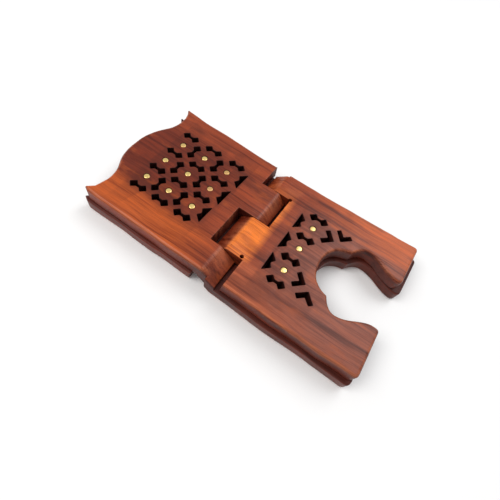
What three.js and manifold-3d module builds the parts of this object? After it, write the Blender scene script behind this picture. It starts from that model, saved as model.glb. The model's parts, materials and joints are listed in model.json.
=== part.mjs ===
// A folding wooden book stand (rehal), cut from one block of wood, folded flat.
//
// The block is sawn through its thickness into an upper and a lower layer, from both ends as far as
// the hinge. There four interlocking knuckles are carved, so that each leaf passes from one layer
// to the other: the top_book_leaf is the upper book board and the lower leg board, and the
// under_book_leaf is the lower book board and the upper leg board. The knuckles hold each other, so
// the hinge has no pin.
//
// Units are millimetres. X runs along the stand, from the book boards (-X) to the feet (+X), Y
// runs across it and Z is up. The outlines are drawn with the hinge axis at x = 0 and the
// underside at z = 0, and the finished stand is moved so that its origin is the middle of the
// underside of its box.
import * as THREE from "three";
import { mergeVertices } from "three/addons/utils/BufferGeometryUtils.js";
import Module from "manifold-3d";

const wasm = await Module();
wasm.setup();

// ---- Driving dimensions ----

const BLOCK_THICKNESS = 30;
const SAW_KERF = 1;
const BOOK_LENGTH = 151;        // hinge axis to the crown of the book end
const LEG_LENGTH = 153;         // hinge axis to the ends of the feet
const SIDE = 75;                // middle of the stand to its straight long edge, at -Y
const FOOT_CORNER = 5;          // radius of the feet's corners in plan
const GRID = 28.5;              // square grid that the studs and the fretwork are laid out on
const BOOK_GRID_X = -2.9 * GRID;  // middle stud of the book board
const LEG_GRID_X = 1.85 * GRID;   // row of studs on the leg board
const ORNAMENT_Y = 2;           // the book board's ornament, the crown and the arch sit off centre
const BOOK_FRET_X = 0.9;        // the book board's fretwork sits this far from its studs
const BOOK_FRET_FAN = 0.0012;   // growth of its spacing along X, per millimetre towards +Y
const STUD_RADIUS = 3;
const STUD_DEPTH = 4;
const STUD_CHAMFER = 0.4;
const FIT_GAP = 0.3;            // between a stud and its hole
const KNUCKLE_GAP = 0.5;        // between neighbouring knuckles

// The long edge at +Y is waisted: its distance from the middle at the book end, hinge and feet.
const FAR_SIDE = { book: 78, waist: 74.7, feet: 80.5 };

// The feet of the upper legs end out of square. The lower boards are longer than the upper ones,
// and END_SKEW further out of square. They stand proud along the edge at -Y, by `side` at the
// hinge, and flare by `flare` more towards the near foot.
const FEET_SKEW = 0.013;
const PROUD = { book: 6, legs: 4.5, side: 2.2, flare: 2 };
const END_SKEW = 0.035;

// The knuckles from the +Y edge to the -Y edge. On the outer face a knuckle runs `flat` past the
// hinge axis, then slopes down by `drop` to its tip, `reach` from the axis. The board that it faces
// ends `wall` from the axis, measured on its outer and on its inner face.
const KNUCKLES = [
  { leaf: "under", from: 44, to: 90, flat: 1.5, reach: 13.4, drop: 9.9, wall: [17, 16.2] },
  { leaf: "top", from: 2, to: 44, flat: 4, reach: 13.4, drop: 9.9, wall: [17.4, 16.2] },
  { leaf: "under", from: -44, to: 2, flat: 1, reach: 13.4, drop: 9.9, wall: [18.5, 16.2] },
  { leaf: "top", from: -90, to: -44, flat: -6, reach: 11, drop: 11.5, wall: [17.4, 15.4] },
];

// Holes drilled at the slots' corners on the leg side, where the saw blade was let in.
const BLADE_HOLE_RADIUS = 2.1;
const BLADE_HOLES = [[17.2, 44], [14.8, -41.4]];

const AXIS_Z = BLOCK_THICKNESS / 2;
const HALF_KERF = SAW_KERF / 2;
const MARGIN = 40;              // how far a cutting solid runs past the wood

// ---- Solids ----

function toManifold(geometry) {
  const bare = geometry.index ? geometry.clone() : geometry;
  bare.deleteAttribute("normal");
  bare.deleteAttribute("uv");
  const merged = mergeVertices(bare, 1e-4);
  return new wasm.Manifold(new wasm.Mesh({
    numProp: 3,
    vertProperties: new Float32Array(merged.attributes.position.array),
    triVerts: new Uint32Array(merged.index.array),
  }));
}

function toGeometry(solid) {
  const mesh = solid.getMesh();
  const geometry = new THREE.BufferGeometry();
  geometry.setAttribute("position", new THREE.BufferAttribute(mesh.vertProperties, 3));
  geometry.setIndex(new THREE.BufferAttribute(mesh.triVerts, 1));
  geometry.computeVertexNormals();
  return geometry;
}

// A prism standing on z = bottom, over an outline in the XY plane.
function upright(points, bottom, height) {
  const settings = { depth: height, bevelEnabled: false };
  const geometry = new THREE.ExtrudeGeometry(new THREE.Shape(points), settings);
  geometry.translate(0, 0, bottom);
  return toManifold(geometry);
}

// A prism lying across the stand, over an outline in the XZ plane, from y = from to y = to.
function crosswise(points, from, to) {
  const settings = { depth: to - from, bevelEnabled: false };
  const geometry = new THREE.ExtrudeGeometry(new THREE.Shape(points), settings);
  geometry.rotateX(Math.PI / 2);
  geometry.translate(0, to, 0);
  return toManifold(geometry);
}

// ---- Outlines in plan ----

// Joins two curves, both drawn on the +Y side, into one that is `far` at +Y and `near` at -Y of
// y = middle.
function joined(far, near, middle) {
  const other = near.getPoints(12).slice(0, -1).reverse().map((p) => new THREE.Vector2(p.x, -p.y));
  return [...far.getPoints(12), ...other].map((p) => new THREE.Vector2(p.x, p.y + middle));
}

// The book end's ogee, from the cove at +Y over the crown to the cove at -Y.
function crownCurve() {
  const cove = new THREE.Vector2(-BOOK_LENGTH + 14.5, 54);
  const half = new THREE.Path();
  half.moveTo(cove.x, cove.y);
  half.bezierCurveTo(cove.x, 34, -BOOK_LENGTH, 32, -BOOK_LENGTH, 0);
  return joined(half, half, ORNAMENT_Y - 0.5);
}

// Half of the arch between the feet, from a foot's inner edge to the arch's top.
function archHalf(foot, bend) {
  const cusp = new THREE.Vector2(98, 27);
  const top = 77.5;
  const half = new THREE.Path();
  half.moveTo(LEG_LENGTH, foot + FOOT_CORNER);
  half.quadraticCurveTo(LEG_LENGTH, foot, LEG_LENGTH - FOOT_CORNER, foot);
  half.bezierCurveTo(LEG_LENGTH - 18, foot + bend, 125, 39, 112.5, 39);
  half.bezierCurveTo(105, 39, 101.5, 33, cusp.x, cusp.y);
  half.bezierCurveTo(85, 24.5, top, 16, top, 0);
  return half;
}

function archCurve() {
  return joined(archHalf(28, 1.5), archHalf(26.7, -1), ORNAMENT_Y);
}

function bookOutline() {
  const horn = -BOOK_LENGTH + 7.5;
  const crown = crownCurve();
  const cove = crown[0].x;
  const far = new THREE.Path();
  far.moveTo(MARGIN, FAR_SIDE.waist);
  far.quadraticCurveTo(-50, FAR_SIDE.waist - 0.5, horn, FAR_SIDE.book);
  const farCove = new THREE.QuadraticBezierCurve(
    new THREE.Vector2(horn, FAR_SIDE.book), new THREE.Vector2(cove, 71), crown[0]);
  const nearCove = new THREE.QuadraticBezierCurve(
    crown[crown.length - 1], new THREE.Vector2(cove, -69), new THREE.Vector2(horn - 1.5, 3 - SIDE));
  const farPoints = [...far.getPoints(10), ...farCove.getPoints(3).slice(1, -1)];
  const nearPoints = [...nearCove.getPoints(2).slice(1), new THREE.Vector2(horn + 4, -SIDE)];
  return [...farPoints, ...crown, ...nearPoints, new THREE.Vector2(MARGIN, -SIDE)];
}

function legOutline() {
  const near = new THREE.Path();
  near.moveTo(-MARGIN, -SIDE);
  near.lineTo(LEG_LENGTH - FOOT_CORNER, -SIDE);
  near.quadraticCurveTo(LEG_LENGTH, -SIDE, LEG_LENGTH, -SIDE + FOOT_CORNER);
  const far = new THREE.Path();
  far.moveTo(LEG_LENGTH, FAR_SIDE.feet - FOOT_CORNER);
  far.quadraticCurveTo(LEG_LENGTH, FAR_SIDE.feet, LEG_LENGTH - FOOT_CORNER, FAR_SIDE.feet);
  far.quadraticCurveTo(60, FAR_SIDE.waist - 0.5, -MARGIN, FAR_SIDE.waist);
  const outline = [...near.getPoints(6), ...archCurve().reverse(), ...far.getPoints(10)];
  return outline.map(({ x, y }) => new THREE.Vector2(x + (x / LEG_LENGTH) * FEET_SKEW * (y - SIDE), y));
}

// ---- Fretwork, each hole an outline about its own middle ----

// Two diamonds joined point to point along X.
function dumbbell() {
  const diamond = 0.17 * GRID;
  const spacing = 0.19 * GRID;
  const neck = 0.05 * GRID;
  const waist = spacing - (diamond - neck);
  const point = spacing + diamond;
  const end = [[waist, neck], [spacing, diamond], [point, 0], [spacing, -diamond], [waist, -neck]];
  return [...end, ...end.map(([x, y]) => [-x, -y])].map(([x, y]) => new THREE.Vector2(x, -y));
}

// Half of a dumbbell that lies along Y, with its straight edge at x = 0 and its points at -X.
function halfDumbbell() {
  const reach = 0.24 * GRID;
  const spacing = 0.16 * GRID;
  const notch = 0.15 * GRID;
  const tip = 0.38 * GRID;
  const points = [[0, -tip], [0, tip], [-reach, spacing], [-notch, 0.03 * GRID]];
  return [...points, [-notch, -0.03 * GRID], [-reach, -spacing]].map(([x, y]) => new THREE.Vector2(x, y));
}

// A right-angled chevron with its outer corner at the middle, pointing to +X.
function chevron() {
  const arm = 0.45 * GRID * Math.SQRT1_2;
  const bar = 0.165 * GRID * Math.SQRT1_2;
  const points = [[0, 0], [-arm, arm], [-arm - bar, arm - bar], [-2 * bar, 0]];
  return [...points, [-arm - bar, bar - arm], [-arm, -arm]].map(([x, y]) => new THREE.Vector2(x, y));
}

function placed(outline, x, y, degrees = 0) {
  const turn = THREE.MathUtils.degToRad(degrees);
  return outline.map((p) => p.clone().rotateAround(new THREE.Vector2(), turn).add(new THREE.Vector2(x, y)));
}

function bookFretwork() {
  const holes = [];
  const cut = (outline, column, row, degrees = 0) => {
    const spacing = GRID * (1 + BOOK_FRET_FAN * row * GRID);
    const x = BOOK_GRID_X + BOOK_FRET_X + column * spacing;
    holes.push(placed(outline, x, ORNAMENT_Y + row * GRID, degrees));
  };
  for (const row of [-1.5, -0.5, 0.5, 1.5]) {
    for (const column of [-1, 0, 1]) {
      cut(dumbbell(), column, row);
    }
  }
  for (const row of [-1, 0, 1]) {
    cut(dumbbell(), -0.5, row, 90);
    cut(dumbbell(), 0.5, row, 90);
    cut(halfDumbbell(), 1.6, row);
  }
  return holes;
}

function legFretwork() {
  const middle = -0.035 * GRID;
  const holes = [];
  for (const row of [-1.5, -0.5, 0.5, 1.5]) {
    holes.push(placed(dumbbell(), LEG_GRID_X, middle + row * GRID));
  }
  for (const row of [-1, 0, 1]) {
    holes.push(placed(halfDumbbell(), LEG_GRID_X - 0.6 * GRID, middle + row * GRID, 180));
  }
  for (const side of [-1, 1]) {
    holes.push(placed(chevron(), LEG_GRID_X + 0.84 * GRID, side * 1.01 * GRID));
    holes.push(placed(chevron(), LEG_GRID_X + 1.03 * GRID, side * 1.16 * GRID, side * -90));
  }
  return holes;
}

// ---- Studs ----

function bookStuds() {
  const rows = [1, 0, -1];
  return rows.flatMap((row) => rows.map((column) => (
    new THREE.Vector2(BOOK_GRID_X - column * GRID, ORNAMENT_Y + row * GRID))));
}

function legStuds() {
  return [1, 0, -1].map((row) => new THREE.Vector2(LEG_GRID_X + 0.5, row * GRID));
}

// ---- The two boards of a layer ----

// Where a point of an upper board lies on the lower board beneath it.
function onLowerBoard(point) {
  const isLeg = point.x > 0;
  const share = Math.abs(point.x) / (isLeg ? LEG_LENGTH : BOOK_LENGTH);
  const outward = share * (isLeg ? PROUD.legs : PROUD.book) + share * END_SKEW * point.y;
  const flare = isLeg ? PROUD.flare * share * (0.35 - 0.65 * point.y / SIDE) : 0;
  return new THREE.Vector2(point.x + Math.sign(point.x) * outward, point.y - PROUD.side - flare);
}

function boardPlan(kind, isUpper) {
  const plan = kind === "book"
    ? { outline: bookOutline(), holes: bookFretwork(), studs: bookStuds() }
    : { outline: legOutline(), holes: legFretwork(), studs: legStuds() };
  if (isUpper) {
    return plan;
  }
  return {
    outline: plan.outline.map(onLowerBoard),
    holes: plan.holes.map((hole) => hole.map(onLowerBoard)),
    studs: plan.studs.map(onLowerBoard),
  };
}

function cylinder(radius, bottom, top, x, y, sides) {
  const geometry = new THREE.CylinderGeometry(radius, radius, top - bottom, sides);
  geometry.rotateX(Math.PI / 2);
  geometry.translate(x, y, (bottom + top) / 2);
  return toManifold(geometry);
}

// A board before the hinge is carved, with its fretwork, and with blind holes for its studs on
// its outer face.
function pierced(plan, isUpper) {
  let board = upright(plan.outline, 0, BLOCK_THICKNESS);
  for (const hole of plan.holes) {
    board = board.subtract(upright(hole, -MARGIN, BLOCK_THICKNESS + 2 * MARGIN));
  }
  const depth = STUD_DEPTH + FIT_GAP;
  const bottom = isUpper ? BLOCK_THICKNESS - depth : -MARGIN;
  const top = isUpper ? BLOCK_THICKNESS + MARGIN : depth;
  for (const stud of plan.studs) {
    board = board.subtract(cylinder(STUD_RADIUS + FIT_GAP, bottom, top, stud.x, stud.y, 16));
  }
  return board;
}

// ---- Hinge ----

// The hinge is drawn in the XZ plane about its axis, for a leaf with its book board on top.
// flip = -1 turns it over for the leaf with its book board underneath.
function aboutAxis(points, flip) {
  return points.map(([x, z]) => new THREE.Vector2(x, AXIS_Z + flip * z));
}

// The knuckle's section. It is the same turned half a turn about the axis.
function knuckleSection({ flat, reach, drop }, root, flip) {
  const tip = [[flat, AXIS_Z], [reach, AXIS_Z - drop], [reach, -HALF_KERF]];
  const half = [...tip, [root, -HALF_KERF], [root, -AXIS_Z]];
  return aboutAxis([...half, ...half.map(([x, z]) => [-x, -z])], flip);
}

// The end of a board where it faces a knuckle of the other leaf, on one side of the hinge.
function slabSection([outer, inner], side, flip) {
  const far = BOOK_LENGTH + MARGIN;
  const section = [[-far, HALF_KERF], [-inner, HALF_KERF], [-outer, AXIS_Z], [-far, AXIS_Z]];
  return aboutAxis(section.map(([x, z]) => [-side * x, -side * z]), flip);
}

// Everything on one side of the hinge axis.
function halfSpace(side) {
  const edge = side * (BOOK_LENGTH + 2 * MARGIN);
  const reach = AXIS_Z + MARGIN;
  const corners = [[0, -reach], [edge, -reach], [edge, reach], [0, reach]];
  const section = side > 0 ? corners : corners.reverse();
  return crosswise(aboutAxis(section, 1), -SIDE - MARGIN, SIDE + MARGIN);
}

function leaf(name) {
  const flip = name === "top" ? 1 : -1;
  let layers = null;
  const add = (solid) => {
    layers = layers ? layers.add(solid) : solid;
  };
  for (const knuckle of KNUCKLES) {
    for (const side of [-1, 1]) {
      add(crosswise(slabSection(knuckle.wall, side, flip), knuckle.from, knuckle.to));
    }
    if (knuckle.leaf === name) {
      const root = knuckle.wall[0] + 5;
      const gap = KNUCKLE_GAP / 2;
      add(crosswise(knuckleSection(knuckle, root, flip), knuckle.from + gap, knuckle.to - gap));
    }
  }
  const bookPlan = boardPlan("book", name === "top");
  const legPlan = boardPlan("legs", name !== "top");
  const book = pierced(bookPlan, name === "top").intersect(halfSpace(-1));
  const legs = pierced(legPlan, name !== "top").intersect(halfSpace(1));
  let wood = book.add(legs).intersect(layers);
  for (const [x, y] of BLADE_HOLES) {
    wood = wood.subtract(cylinder(BLADE_HOLE_RADIUS, -MARGIN, BLOCK_THICKNESS + MARGIN, x, y, 12));
  }
  return { wood, bookStuds: bookPlan.studs, legStuds: legPlan.studs };
}

// ---- The stand ----

const stand = new THREE.Group();
const leafWood = {
  top: new THREE.MeshStandardMaterial({ color: 0x8a4126, roughness: 0.42, metalness: 0 }),
  under: new THREE.MeshStandardMaterial({ color: 0x9c5233, roughness: 0.42, metalness: 0 }),
};
const brass = new THREE.MeshStandardMaterial({ color: 0xd9b45a, roughness: 0.3, metalness: 1 });

// A stud is a short plug of brass, filed flush with the wood.
function studGeometry() {
  const shoulder = STUD_DEPTH - STUD_CHAMFER;
  const outside = [[STUD_RADIUS, 0], [STUD_RADIUS, shoulder], [STUD_RADIUS - STUD_CHAMFER, STUD_DEPTH]];
  const profile = [[0, 0], ...outside, [0, STUD_DEPTH]];
  const geometry = new THREE.LatheGeometry(profile.map(([r, z]) => new THREE.Vector2(r, z)), 16);
  geometry.rotateX(Math.PI / 2);
  geometry.translate(0, 0, -STUD_DEPTH);
  return geometry;
}

function addStuds(places, isUpper, label) {
  places.forEach((place, index) => {
    const stud = new THREE.Mesh(studGeometry(), brass.clone());
    stud.name = `${label}_${index + 1}`;
    stud.position.set(place.x, place.y, isUpper ? BLOCK_THICKNESS : 0);
    stud.rotation.x = isUpper ? 0 : Math.PI;
    stand.add(stud);
  });
}

for (const name of ["top", "under"]) {
  const made = leaf(name);
  const mesh = new THREE.Mesh(toGeometry(made.wood), leafWood[name]);
  mesh.name = `${name}_book_leaf`;
  stand.add(mesh);
  addStuds(made.bookStuds, name === "top", name === "top" ? "upper_book_stud" : "lower_book_stud");
  addStuds(made.legStuds, name !== "top", name === "top" ? "lower_leg_stud" : "upper_leg_stud");
}

const box = new THREE.Box3().setFromObject(stand);
const middle = box.getCenter(new THREE.Vector3());
stand.position.set(-middle.x, -middle.y, -box.min.z);

export default stand;
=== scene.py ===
"""A folding wooden book stand (rehal) with brass studs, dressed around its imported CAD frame."""
import json
import math

import bmesh
import bpy
from mathutils import Euler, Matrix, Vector, noise


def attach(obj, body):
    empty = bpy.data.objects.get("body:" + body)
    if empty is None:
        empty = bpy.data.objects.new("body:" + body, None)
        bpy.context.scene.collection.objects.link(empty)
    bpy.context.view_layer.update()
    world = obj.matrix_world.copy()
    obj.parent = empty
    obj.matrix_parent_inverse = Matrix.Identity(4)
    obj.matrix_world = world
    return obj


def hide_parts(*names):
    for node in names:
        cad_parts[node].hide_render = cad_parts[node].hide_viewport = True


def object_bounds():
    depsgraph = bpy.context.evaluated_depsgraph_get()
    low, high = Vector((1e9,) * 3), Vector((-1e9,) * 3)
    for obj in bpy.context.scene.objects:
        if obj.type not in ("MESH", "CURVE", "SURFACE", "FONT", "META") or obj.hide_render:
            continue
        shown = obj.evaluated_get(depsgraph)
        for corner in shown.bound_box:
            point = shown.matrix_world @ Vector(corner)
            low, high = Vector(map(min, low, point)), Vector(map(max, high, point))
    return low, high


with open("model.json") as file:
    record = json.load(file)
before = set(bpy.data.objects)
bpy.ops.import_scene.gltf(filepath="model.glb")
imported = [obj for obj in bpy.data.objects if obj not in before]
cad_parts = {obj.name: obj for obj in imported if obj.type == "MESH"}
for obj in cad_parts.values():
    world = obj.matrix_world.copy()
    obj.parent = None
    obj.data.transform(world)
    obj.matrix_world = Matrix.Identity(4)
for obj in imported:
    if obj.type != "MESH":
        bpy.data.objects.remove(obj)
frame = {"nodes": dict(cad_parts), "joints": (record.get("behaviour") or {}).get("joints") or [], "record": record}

MM = 0.001
CAD_LOW, CAD_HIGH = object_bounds()
LEAVES = {"top_book_leaf": "top_leaf", "under_book_leaf": "under_leaf"}


def box_middle(node):
    mesh_object = frame["nodes"][node]
    points = [mesh_object.matrix_world @ v.co for v in mesh_object.data.vertices]
    return Vector([(min(p[i] for p in points) + max(p[i] for p in points)) / 2 for i in range(3)])


# The drawing's origin: the hinge axis, on the stand's middle line, at the underside.
HINGE = Vector(frame["joints"][0]["pos_m"])
CENTRE_STUD = box_middle("upper_book_stud_5")
ORIGIN = Vector((HINGE.x, CENTRE_STUD.y - 2 * MM, CAD_LOW.z))
TOP = CAD_HIGH.z

# Without a seed, noise_vector's offsets come from the clock.
noise.seed_set(5)

# ---- Camera ----

# The camera's place and aim, measured from the upper book board's middle stud.
EYE = Vector((146.2, -177.9, 261.7)) * MM
AIM = Vector((99.6, -33.1, 0)) * MM
ROLL = math.radians(-18.32)
LENS = 23.63


def add_camera():
    data = bpy.data.cameras.new("camera")
    data.lens = LENS
    data.sensor_width = 36
    data.clip_start = 0.01
    camera = bpy.data.objects.new("camera", data)
    bpy.context.scene.collection.objects.link(camera)
    camera.location = Vector((CENTRE_STUD.x, CENTRE_STUD.y, TOP)) + EYE
    looking = (AIM - EYE).to_track_quat("-Z", "Y")
    camera.rotation_mode = "QUATERNION"
    camera.rotation_quaternion = looking @ Euler((0, 0, -ROLL)).to_quaternion()
    bpy.context.scene.camera = camera


# ---- Stage ----

def add_area(name, place, size, power, colour):
    data = bpy.data.lights.new(name, "AREA")
    data.energy = power
    data.size = size
    data.color = colour
    light = bpy.data.objects.new(name, data)
    bpy.context.scene.collection.objects.link(light)
    light.location = place
    light.rotation_mode = "QUATERNION"
    light.rotation_quaternion = (-Vector(place)).to_track_quat("-Z", "Y")


def add_stage():
    bm = bmesh.new()
    bmesh.ops.create_grid(bm, x_segments=2, y_segments=2, size=4)
    mesh = bpy.data.meshes.new("floor")
    bm.to_mesh(mesh)
    bm.free()
    floor = bpy.data.objects.new("floor", mesh)
    bpy.context.scene.collection.objects.link(floor)
    floor.location.z = CAD_LOW.z - 0.0002
    paper = bpy.data.materials.new("pale_floor")
    paper.use_nodes = True
    shader = paper.node_tree.nodes["Principled BSDF"]
    shader.inputs["Base Color"].default_value = (0.95, 0.95, 0.95, 1)
    shader.inputs["Roughness"].default_value = 0.9
    shader.inputs["Specular IOR Level"].default_value = 0.1
    mesh.materials.append(paper)

    world = bpy.data.worlds.new("studio")
    world.use_nodes = True
    background = world.node_tree.nodes["Background"]
    background.inputs["Color"].default_value = (1, 1, 1, 1)
    background.inputs["Strength"].default_value = 0.5
    bpy.context.scene.world = world
    add_area("key", (0.5, 0.95, 1.4), 1.1, 12, (0.98, 0.99, 1))
    add_area("rim", (-0.7, -0.5, 1.25), 0.8, 11, (1, 0.98, 0.96))
    bpy.context.scene.view_settings.view_transform = "Standard"


# ---- Wood: shape ----

ROUND = 3.3 * MM          # the widest rounding, on the boards' outer edges
HINGE_ZONE = 19 * MM      # the hinge's carving ends this far from its axis
FACE, SIDE, FRET, CUT = 0, 1, 2, 3      # material slots of a leaf
BLADE_HOLES = [(17.2, 44), (14.8, -41.4)]       # in millimetres from the origin
LARGEST_HOLE = 26 * MM    # anything upright and wider than this is a board's outline or the hinge
BLIND_FLOOR = 2 * MM      # a hole that ends further than this from the hinge's level is blind


def in_hinge(place):
    return abs(place.x - HINGE.x) < HINGE_ZONE and abs(place.y - ORIGIN.y) < 71 * MM


def merge_flat(bm):
    bmesh.ops.dissolve_limit(bm, angle_limit=math.radians(0.05), verts=bm.verts, edges=bm.edges)
    bm.normal_update()


def is_upright(face):
    return abs(face.normal.z) < 0.05


def upright_groups(bm):
    """The upright faces in connected groups: one for the outline, one for each hole."""
    left = {f for f in bm.faces if is_upright(f)}
    groups = []
    for seed in bm.faces:
        if seed not in left:
            continue
        left.discard(seed)
        group, front = set(), [seed]
        while front:
            face = front.pop()
            group.add(face)
            for edge in face.edges:
                for other in edge.link_faces:
                    if other in left:
                        left.discard(other)
                        front.append(other)
        groups.append(group)
    return groups


def span(points):
    """The low and high corners of the box round some points."""
    low = Vector([min(p[i] for p in points) for i in range(3)])
    high = Vector([max(p[i] for p in points) for i in range(3)])
    return low, high


def edge_loop(edges):
    """The vertices of a closed chain of edges, in order."""
    edge = min(edges, key=lambda e: e.index)
    left = set(edges) - {edge}
    first, current = edge.verts
    chain = [first]
    while current != first:
        chain.append(current)
        edge = next(e for e in current.link_edges if e in left)
        left.discard(edge)
        current = edge.other_vert(current)
    return chain


def close_holes(bm):
    """Fills the fretwork and the studs' holes, and returns each one's outline, outer and inner level."""
    holes = []
    bm.edges.index_update()
    bm.faces.index_update()
    for group in upright_groups(bm):
        low, high = span([v.co for f in group for v in f.verts])
        if max(high.x - low.x, high.y - low.y) > LARGEST_HOLE or in_hinge((low + high) / 2):
            continue
        outer, inner = (high.z, low.z) if high.z > HINGE.z else (low.z, high.z)
        edges = {e for f in group for e in f.edges}
        rims = [edge_loop([e for e in edges if all(abs(v.co.z - level) < 1e-5 for v in e.verts)])
                for level in (outer, inner)]
        holes.append(([v.co.copy() for v in rims[0]], outer, inner))
        if abs(inner - HINGE.z) > BLIND_FLOOR:
            group |= {f for f in rims.pop()[0].link_faces if f not in group and not is_upright(f)}
        bmesh.ops.delete(bm, geom=sorted(group, key=lambda f: f.index), context="FACES")
        for rim in rims:
            bm.faces.new(rim)
    bmesh.ops.recalc_face_normals(bm, faces=bm.faces)
    merge_flat(bm)
    return holes


def sort_faces(bm):
    for face in bm.faces:
        middle = face.calc_center_median()
        outward = face.normal.z * (1 if middle.z > HINGE.z else -1)
        if not is_upright(face):
            face.material_index = FACE if outward > 0.3 else CUT
        else:
            face.material_index = CUT if in_hinge(middle) else SIDE


def near_blade_hole(place):
    flat = Vector((place.x - ORIGIN.x, place.y - ORIGIN.y)) / MM
    return any((flat - Vector(hole)).length < 4.5 for hole in BLADE_HOLES)


def rounding(edge):
    """The rounding's width on an edge, in millimetres, turned into a share of ROUND."""
    middle = (edge.verts[0].co + edge.verts[1].co) / 2
    if len(edge.link_faces) != 2 or edge.calc_face_angle(0) < math.radians(18) or near_blade_hole(middle):
        return 0.0
    kinds = sorted(f.material_index for f in edge.link_faces)
    width = 0.5
    if kinds == [FACE, SIDE]:
        width = ROUND / MM
    elif kinds == [FACE, FACE]:
        width = 2.6
    elif kinds == [FACE, CUT]:
        width = 0.6
    elif kinds == [SIDE, SIDE]:
        width = 0.6
    elif kinds == [SIDE, CUT] and middle.z < HINGE.z and not in_hinge(middle):
        width = 1.8
    return width * MM / ROUND


def bevelled(mesh):
    leaf = bpy.data.objects.new(mesh.name, mesh)
    bpy.context.scene.collection.objects.link(leaf)
    bevel = leaf.modifiers.new("bevel", "BEVEL")
    bevel.limit_method = "WEIGHT"
    bevel.width = ROUND
    bevel.segments = 4
    bevel.use_clamp_overlap = False
    bevel.loop_slide = False
    bake_modifiers(leaf)
    return leaf


def softened(corners, radius):
    """An outline with its corners rounded off."""
    points = []
    for before, corner, after in zip(corners[-1:] + corners[:-1], corners, corners[1:] + corners[:1]):
        back, on = before - corner, after - corner
        start = corner + back.normalized() * min(radius, back.length * 0.4)
        end = corner + on.normalized() * min(radius, on.length * 0.4)
        points += [start, (start + 2 * corner + end) / 4, end]
    return points


def widened(corners, width):
    """An outline moved outwards, for one that runs anticlockwise."""
    points = []
    for before, corner, after in zip(corners[-1:] + corners[:-1], corners, corners[1:] + corners[:1]):
        back, on = (corner - before).normalized(), (after - corner).normalized()
        first, second = Vector((back.y, -back.x)), Vector((on.y, -on.x))
        points.append(corner + (first + second) * width / (1 + first.dot(second)))
    return points


def cutter(holes):
    """The solid that cuts the holes again, with softened corners and a small chamfer outside."""
    bm = bmesh.new()
    for corners, outer, inner in holes:
        outline = [Vector((p.x, p.y)) for p in corners]
        turn = sum(a.cross(b) for a, b in zip(outline, outline[1:] + outline[:1]))
        if turn < 0:
            outline.reverse()
        blind = abs(inner - HINGE.z) > BLIND_FLOOR
        chamfer = 0.12 * MM if blind else 0.35 * MM
        if not blind:
            outline = softened(outline, 0.8 * MM)
        side = 1 if outer > HINGE.z else -1
        levels = [(outer + side * chamfer, 2 * chamfer), (outer - side * chamfer, 0),
                  (inner if blind else inner - side * 0.4 * MM, 0)]
        rings = []
        for level, width in levels:
            rings.append([bm.verts.new((p.x, p.y, level)) for p in widened(outline, width)])
        for upper, lower in zip(rings, rings[1:]):
            for i in range(len(upper)):
                j = (i + 1) % len(upper)
                bm.faces.new((upper[i], upper[j], lower[j], lower[i]))
        bm.faces.new(rings[0])
        bm.faces.new(rings[-1])
    bmesh.ops.recalc_face_normals(bm, faces=bm.faces)
    for face in bm.faces:
        face.material_index = FRET
    mesh = bpy.data.meshes.new("fretwork_cutter")
    bm.to_mesh(mesh)
    bm.free()
    return bpy.data.objects.new("fretwork_cutter", mesh)


def cut_holes(leaf, holes):
    tool = cutter(holes)
    bpy.context.scene.collection.objects.link(tool)
    for material in leaf.data.materials:
        tool.data.materials.append(material)
    cut = leaf.modifiers.new("fretwork", "BOOLEAN")
    cut.operation = "DIFFERENCE"
    cut.solver = "MANIFOLD"
    cut.object = tool
    bake_modifiers(leaf)
    bpy.data.objects.remove(tool)


def add_seams(bm):
    """Cuts the faces across the grain, so that the long edges can waver."""
    step = 7 * MM
    place = CAD_LOW.x + step
    while place < CAD_HIGH.x:
        if abs(place - HINGE.x) > HINGE_ZONE + 2 * MM:
            geometry = bm.verts[:] + bm.edges[:] + bm.faces[:]
            bmesh.ops.bisect_plane(bm, geom=geometry, dist=1e-6, plane_co=(place, 0, 0), plane_no=(1, 0, 0))
        place += step


def wander(place):
    """How far hand work moves a point of the wood: only along X and Y, and not at all at the hinge."""
    away = (abs(place.x - HINGE.x) - HINGE_ZONE) / (22 * MM)
    strength = min(max(away, 0), 1) * MM
    layer = 0.3 if place.z > HINGE.z else 5.1
    slow = noise.noise_vector(Vector((place.x * 28, place.y * 28, layer)))
    quick = noise.noise_vector(Vector((place.x * 95, place.y * 95, layer + 3)))
    return Vector((slow.x + 0.35 * quick.x, slow.y + 0.35 * quick.y, 0)) * strength * 1.1


def is_rounded(vertex):
    """True on the roundings of the outer edges, which are painted paler: partly wear where hands rub, partly a
    painted highlight.
    """
    outward = vertex.normal.z * (1 if vertex.co.z > HINGE.z else -1)
    beside_fretwork = any(face.material_index == FRET for face in vertex.link_faces)
    return 0.25 < outward < 0.97 and abs(vertex.co.z - HINGE.z) > 11 * MM and not beside_fretwork


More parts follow.
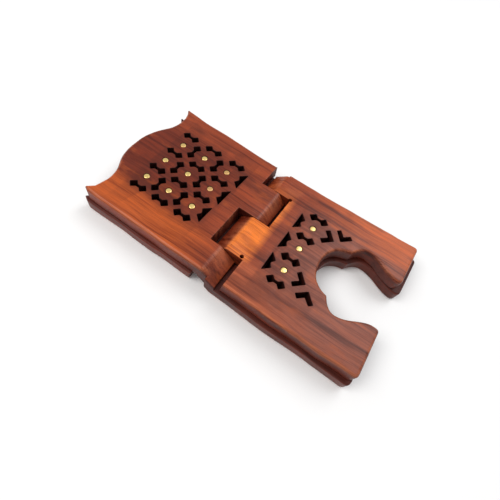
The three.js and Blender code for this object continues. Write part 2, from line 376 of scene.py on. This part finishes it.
def finished_leaf(node, materials):
    bm = bmesh.new()
    bm.from_mesh(frame["nodes"][node].data)
    bmesh.ops.remove_doubles(bm, verts=bm.verts, dist=1e-5)
    merge_flat(bm)
    holes = close_holes(bm)
    sort_faces(bm)
    weight = bm.edges.layers.float.new("bevel_weight_edge")
    for edge in bm.edges:
        edge[weight] = rounding(edge)
    mesh = bpy.data.meshes.new(node + "_wood")
    bm.to_mesh(mesh)
    bm.free()
    for material in materials:
        mesh.materials.append(material)
    leaf = bevelled(mesh)
    cut_holes(leaf, holes)

    bm = bmesh.new()
    bm.from_mesh(leaf.data)
    bmesh.ops.remove_doubles(bm, verts=bm.verts, dist=1e-6)
    add_seams(bm)
    # The outer roundings' mask, for a paler colour that is partly wear and partly a painted highlight.
    worn = bm.verts.layers.float.new("worn")
    # The mask beside the fretwork holes, where the wood is painted darker.
    next_to_fretwork = bm.verts.layers.float.new("next_to_fretwork")
    bm.normal_update()
    for vertex in bm.verts:
        vertex[worn] = 1.0 if is_rounded(vertex) else 0.0
        vertex[next_to_fretwork] = 1.0 if any(face.material_index == FRET for face in vertex.link_faces) else 0.0
        vertex.co += wander(vertex.co)
    bm.to_mesh(leaf.data)
    bm.free()
    leaf.data.shade_smooth()
    leaf.data.set_sharp_from_angle(angle=math.radians(32))
    leaf.modifiers.new("normals", "WEIGHTED_NORMAL").keep_sharp = True
    bake_modifiers(leaf)
    return leaf


def bake_modifiers(piece):
    bpy.context.view_layer.update()
    shown = piece.evaluated_get(bpy.context.evaluated_depsgraph_get())
    mesh = bpy.data.meshes.new_from_object(shown)
    piece.modifiers.clear()
    piece.data = mesh


# ---- Studs ----

# The studs that have lost their shine, a little of it (1) or most of it (2).
DULLNESS = {"upper_book_stud_1": 1, "upper_book_stud_3": 2, "upper_book_stud_6": 2, "upper_leg_stud_1": 1,
            "lower_book_stud_2": 1, "lower_book_stud_4": 2, "lower_book_stud_9": 1, "lower_leg_stud_2": 2}
STUD_RADIUS = 3 * MM
STUD_SIDES = 40


def finished_stud(node):
    """A brass plug with a low dome, moved along with the wood round it."""
    middle = box_middle(node)
    side = 1 if middle.z > HINGE.z else -1
    face = CAD_HIGH.z if side > 0 else CAD_LOW.z
    profile = [(0, 0.1), (0.35, 0.08), (0.62, 0.02), (0.8, -0.06), (0.93, -0.18), (1, -0.42), (1, -4)]
    bm = bmesh.new()
    rings = []
    for share, height in profile[1:]:
        ring = []
        for i in range(STUD_SIDES):
            turn = 2 * math.pi * i / STUD_SIDES
            worn = 1 + 0.02 * noise.noise(Vector((math.cos(turn) * 2, math.sin(turn) * 2, middle.x * 900)))
            reach = STUD_RADIUS * share * worn
            x, y = reach * math.cos(turn), side * reach * math.sin(turn)
            ring.append(bm.verts.new((x, y, side * height * MM)))
        rings.append(ring)
    crown = bm.verts.new((0, 0, side * profile[0][1] * MM))
    for i in range(STUD_SIDES):
        j = (i + 1) % STUD_SIDES
        bm.faces.new((crown, rings[0][i], rings[0][j]))
        for inner, outer in zip(rings, rings[1:]):
            bm.faces.new((inner[i], outer[i], outer[j], inner[j]))
    bm.faces.new(list(reversed(rings[-1])))
    bmesh.ops.recalc_face_normals(bm, faces=bm.faces)
    mesh = bpy.data.meshes.new(node + "_brass")
    bm.to_mesh(mesh)
    bm.free()
    mesh.shade_smooth()
    mesh.set_sharp_from_angle(angle=math.radians(50))
    stud = bpy.data.objects.new(node + "_brass", mesh)
    bpy.context.scene.collection.objects.link(stud)
    stud.location = Vector((middle.x, middle.y, face)) + wander(Vector((middle.x, middle.y, face)))
    return stud


# ---- Materials ----

def tone(red, green, blue):
    """A display colour as a scene-linear one."""
    def linear(value):
        value /= 255
        return value / 12.92 if value <= 0.04045 else ((value + 0.055) / 1.055) ** 2.4
    return (linear(red), linear(green), linear(blue), 1)


class Graph:
    """A material's node tree, with short ways to add nodes to it."""

    def __init__(self, name):
        self.material = bpy.data.materials.new(name)
        self.material.use_nodes = True
        self.tree = self.material.node_tree
        self.shader = self.tree.nodes["Principled BSDF"]

    def feed(self, socket, value):
        if isinstance(value, bpy.types.NodeSocket):
            self.tree.links.new(value, socket)
        else:
            socket.default_value = value

    def node(self, kind, inputs, **settings):
        node = self.tree.nodes.new("ShaderNode" + kind)
        for key, value in settings.items():
            setattr(node, key, value)
        for key, value in inputs.items():
            self.feed(node.inputs[key], value)
        return node

    def math(self, operation, first, second=0.0, third=0.0):
        return self.node("Math", {0: first, 1: second, 2: third}, operation=operation).outputs[0]

    def rise(self, value, low, high):
        """0 below low, 1 above high, smooth between."""
        inputs = {"Value": value, "From Min": low, "From Max": high}
        return self.node("MapRange", inputs, interpolation_type="SMOOTHSTEP").outputs["Result"]

    def blend(self, factor, first, second, blend_type="MIX"):
        mix = self.node("Mix", {0: factor, 6: first, 7: second}, data_type="RGBA", blend_type=blend_type)
        return mix.outputs[2]

    def ramp(self, factor, stops):
        node = self.node("ValToRGB", {"Fac": factor})
        elements = node.color_ramp.elements
        elements[0].position, elements[0].color = stops[0]
        elements[1].position, elements[1].color = stops[-1]
        for place, colour in stops[1:-1]:
            elements.new(place).color = colour
        return node.outputs["Color"]

    def stretched_noise(self, place, scale, detail, roughness=0.55):
        scaled = self.node("VectorMath", {0: place, 1: scale}, operation="MULTIPLY").outputs[0]
        inputs = {"Vector": scaled, "Scale": 1.0, "Detail": detail, "Roughness": roughness}
        return self.node("TexNoise", inputs).outputs["Fac"]


# Sheesham's colours under varnish, from the heartwood to the palest sapwood.
UMBER = tone(110, 40, 20)
CHESTNUT = tone(140, 60, 32)
# A pale rose for the leg boards: partly the wood's tone, partly a painted sheen.
ROSE_AND_SHEEN = tone(135, 70, 50)
AMBER = tone(175, 80, 30)
CORAL = tone(170, 85, 52)
ORANGE = tone(232, 122, 42)

# Where each colour lies along the grain, in millimetres from the hinge axis, in three bands across
# the stand. Heartwood runs down the middle of the book end, and the upper leg board is paler: partly its tone,
# partly a painted sheen.
TOP_LEAF_TONES = {
    "near": [(-150, AMBER), (-50, AMBER), (0, CHESTNUT), (80, ROSE_AND_SHEEN)],
    "middle": [(-150, UMBER), (-70, UMBER), (-20, CHESTNUT), (80, ROSE_AND_SHEEN)],
    "far": [(-150, CHESTNUT), (150, CHESTNUT)],
}
UNDER_LEAF_TONES = {
    "near": [(-150, CHESTNUT), (30, CORAL), (100, ROSE_AND_SHEEN)],
    # In the middle band, umber up to 4 mm before the axis is painted shade on the sloping tip of the under leaf's
    # hinge knuckle; the orange from 1 mm is its flat top.
    "middle": [(-150, UMBER), (-4, UMBER), (-1, ORANGE), (17, ORANGE), (25, CHESTNUT), (60, ROSE_AND_SHEEN)],
    "far": [(-150, CHESTNUT), (30, CHESTNUT), (90, AMBER)],
}
HALF_SPAN = 160          # the colours' ramps reach this far either side of the hinge axis


def wood(name, tones, shade=(1, 1, 1, 1), gloss=1.0, sawn=0.0):
    """Varnished sheesham: bands of colour, streaks, fine grain and pores, all along X."""
    graph = Graph(name)
    place = graph.node("TexCoord", {}).outputs["Object"]
    moved = graph.node("VectorMath", {0: place, 1: ORIGIN}, operation="SUBTRACT").outputs[0]
    place = graph.node("VectorMath", {0: moved, "Scale": 1000.0}, operation="SCALE").outputs[0]
    axes = graph.node("SeparateXYZ", {"Vector": place})
    x, y, z = axes.outputs

    # The grain wanders a little across the board.
    drift = graph.stretched_noise(place, (0.011, 0.02, 0.02), 2.0)
    bent = graph.math("ADD", y, graph.math("MULTIPLY", graph.math("SUBTRACT", drift, 0.5), 9.0))
    grain = graph.node("CombineXYZ", {"X": x, "Y": bent, "Z": z}).outputs[0]
    broad = graph.stretched_noise(grain, (0.006, 0.13, 0.06), 3.0, 0.6)
    streak = graph.stretched_noise(grain, (0.012, 0.42, 0.25), 4.0, 0.62)
    fine = graph.stretched_noise(grain, (0.05, 2.6, 2.2), 4.0, 0.6)
    fibre = graph.stretched_noise(grain, (0.3, 9.0, 8.0), 2.0)
    pore = graph.stretched_noise(grain, (0.42, 7.5, 6.0), 1.0)

    along = graph.math("MULTIPLY_ADD", x, 0.5 / HALF_SPAN, 0.5)
    patch = graph.stretched_noise(place, (0.03, 0.05, 0.03), 2.0)
    shifted = graph.math("ADD", along, graph.math("MULTIPLY", graph.math("SUBTRACT", patch, 0.5), 0.05))
    ramps = {}
    for band, stops in tones.items():
        scaled = [(0.5 + stop / HALF_SPAN / 2, colour) for stop, colour in stops]
        ramps[band] = graph.ramp(along if band == "middle" else shifted, scaled)
    ragged = graph.math("ADD", bent, graph.math("MULTIPLY", graph.math("SUBTRACT", streak, 0.5), 16.0))
    toward_near = graph.rise(ragged, -34.0, -50.0)
    toward_far = graph.rise(ragged, 36.0, 58.0)
    base = graph.blend(toward_far, ramps["middle"], ramps["far"])
    base = graph.blend(toward_near, base, ramps["near"])

    streaks = graph.math("ADD", graph.math("MULTIPLY", broad, 0.5), graph.math("MULTIPLY", streak, 0.5))
    depth = graph.ramp(streaks, [(0.34, (0.28, 0.18, 0.14, 1)), (0.43, (0.68, 0.58, 0.52, 1)),
                                 (0.51, (1, 1, 1, 1)), (0.64, (1.36, 1.3, 1.08, 1))])
    base = graph.blend(1.0, base, depth, "MULTIPLY")
    smudge = graph.rise(graph.stretched_noise(grain, (0.014, 0.045, 0.03), 3.0, 0.6), 0.54, 0.68)
    base = graph.blend(graph.math("MULTIPLY", smudge, 0.45), base, tone(78, 28, 16))
    glow = graph.rise(graph.stretched_noise(grain, (0.022, 0.07, 0.05), 3.0, 0.65), 0.53, 0.68)
    base = graph.blend(graph.math("MULTIPLY", glow, 0.4), base, AMBER)
    hair = graph.ramp(fine, [(0.3, (0.66, 0.62, 0.6, 1)), (0.5, (1, 1, 1, 1)), (0.7, (1.15, 1.13, 1.1, 1))])
    base = graph.blend(1.0, base, hair, "MULTIPLY")
    open_pore = graph.rise(pore, 0.66, 0.74)
    base = graph.blend(graph.math("MULTIPLY", open_pore, 0.55), base, (0.02, 0.006, 0.004, 1))
    # Painted shade: the copies of the wood for the sides, the cuts and the fretwork are darkened here.
    base = graph.blend(1.0, base, shade, "MULTIPLY")
    # Darker round the fretwork holes, and paler on the outer roundings: partly wear, partly a painted highlight.
    next_to_fretwork = graph.node("Attribute", {}, attribute_name="next_to_fretwork").outputs["Fac"]
    fret_darkening = graph.math("MULTIPLY", next_to_fretwork, graph.rise(broad, 0.3, 0.6))
    base = graph.blend(graph.math("MULTIPLY", fret_darkening, 0.45), base, tone(72, 24, 14))
    # The outer roundings painted paler: partly wear, partly a painted highlight.
    worn = graph.node("Attribute", {}, attribute_name="worn").outputs["Fac"]
    wear_and_highlight = graph.math("MULTIPLY", worn, graph.rise(graph.math("ADD", broad, fine), 0.86, 1.2))
    base = graph.blend(graph.math("MULTIPLY", wear_and_highlight, 0.35), base, tone(205, 125, 85))

    rough = graph.math("MULTIPLY_ADD", patch, 0.22, 0.26 + 0.3 * (1 - gloss))
    rough = graph.math("ADD", rough, graph.math("MULTIPLY", fine, 0.1))

    height = graph.math("ADD", graph.math("MULTIPLY", fine, 0.5), graph.math("MULTIPLY", fibre, 0.25))
    height = graph.math("SUBTRACT", height, graph.math("MULTIPLY", open_pore, 0.5))
    bump = graph.node("Bump", {"Height": height, "Strength": 0.5, "Distance": 0.00009})
    waves = graph.stretched_noise(place, (0.05, 0.07, 0.07), 2.0)
    worked = graph.node("Bump", {"Height": waves, "Strength": 0.6, "Distance": 0.0012,
                                 "Normal": bump.outputs["Normal"]})
    normal = worked.outputs["Normal"]
    # Marks of the file across the knuckles.
    across = graph.node("TexWave", {"Vector": place, "Scale": 0.2, "Distortion": 2.5, "Detail": 2.0,
                                    "Detail Scale": 0.3}, bands_direction="X").outputs["Fac"]
    knuckle = graph.rise(graph.math("ABSOLUTE", x), 17.0, 14.0)
    inputs = {"Height": graph.math("MULTIPLY", across, knuckle), "Strength": 0.4, "Distance": 0.0001,
              "Normal": normal}
    normal = graph.node("Bump", inputs).outputs["Normal"]
    if sawn:
        inputs = {"Vector": place, "Scale": 0.28, "Distortion": 1.2, "Detail": 2.0}
        teeth = graph.node("TexWave", inputs, bands_direction="DIAGONAL").outputs["Fac"]
        inputs = {"Height": teeth, "Strength": sawn, "Distance": 0.0002, "Normal": normal}
        normal = graph.node("Bump", inputs).outputs["Normal"]
    graph.feed(graph.shader.inputs["Base Color"], base)
    graph.feed(graph.shader.inputs["Roughness"], rough)
    graph.feed(graph.shader.inputs["Normal"], normal)
    graph.shader.inputs["Specular IOR Level"].default_value = 0.25
    graph.shader.inputs["Coat Weight"].default_value = 0.12 * gloss
    graph.shader.inputs["Coat Roughness"].default_value = 0.22
    return graph.material


def brass(name, dullness):
    """Filed brass: fine scratches, a brown rim, and more brown all over where it is dull."""
    graph = Graph(name)
    place = graph.node("TexCoord", {}).outputs["Object"]
    scaled = graph.node("VectorMath", {0: place, "Scale": 1000.0}, operation="SCALE").outputs[0]
    scratch = graph.stretched_noise(scaled, (1.2, 14.0, 6.0), 3.0)
    cloud = graph.stretched_noise(scaled, (0.8, 0.8, 0.8), 3.0)
    axes = graph.node("SeparateXYZ", {"Vector": scaled})
    flat = graph.node("CombineXYZ", {"X": axes.outputs[0], "Y": axes.outputs[1]}).outputs[0]
    reach = graph.node("VectorMath", {0: flat}, operation="LENGTH").outputs["Value"]
    rim = graph.rise(reach, 2.3, 3.0)
    base = graph.blend(cloud, (0.96, 0.66, 0.20, 1), (1.0, 0.80, 0.34, 1))
    base = graph.blend(dullness, base, (0.62, 0.34, 0.14, 1))
    base = graph.blend(graph.math("MULTIPLY", rim, 0.75), base, (0.5, 0.24, 0.08, 1))
    rough = graph.math("ADD", graph.math("MULTIPLY", scratch, 0.2), graph.math("MULTIPLY", cloud, 0.12))
    bump = graph.node("Bump", {"Height": scratch, "Strength": 0.35, "Distance": 0.00004})
    graph.feed(graph.shader.inputs["Base Color"], base)
    graph.feed(graph.shader.inputs["Roughness"], graph.math("ADD", rough, 0.14 + 0.2 * dullness))
    graph.feed(graph.shader.inputs["Normal"], bump.outputs["Normal"])
    graph.shader.inputs["Metallic"].default_value = 0.8
    return graph.material


# ---- Build ----

add_camera()
add_stage()
for node, body in LEAVES.items():
    tones = TOP_LEAF_TONES if node == "top_book_leaf" else UNDER_LEAF_TONES
    label = node.split("_")[0]
    # The side, cut and fretwork copies carry painted shade: the sides darkened somewhat, the slot walls and the
    # gap between the boards more, the fretwork holes' walls almost to black.
    materials = [wood(label + "_face", tones), wood(label + "_side", tones, (0.42, 0.25, 0.21, 1), 0.8),
                 wood(label + "_fretwork", tones, (0.05, 0.025, 0.02, 1), 0.2, 0.5),
                 wood(label + "_cut", tones, (0.3, 0.17, 0.15, 1), 0.4, 0.4)]
    leaf = finished_leaf(node, materials)
    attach(leaf, body)
    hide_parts(node)
brass_materials = [brass("bright_brass", 0.0), brass("brass", 0.3), brass("dull_brass", 0.75)]
for body, nodes in frame["record"]["behaviour"]["bodies"].items():
    for node in nodes:
        if "stud" in node:
            stud = finished_stud(node)
            stud.data.materials.append(brass_materials[DULLNESS.get(node, 0)])
            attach(stud, body)
            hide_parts(node)
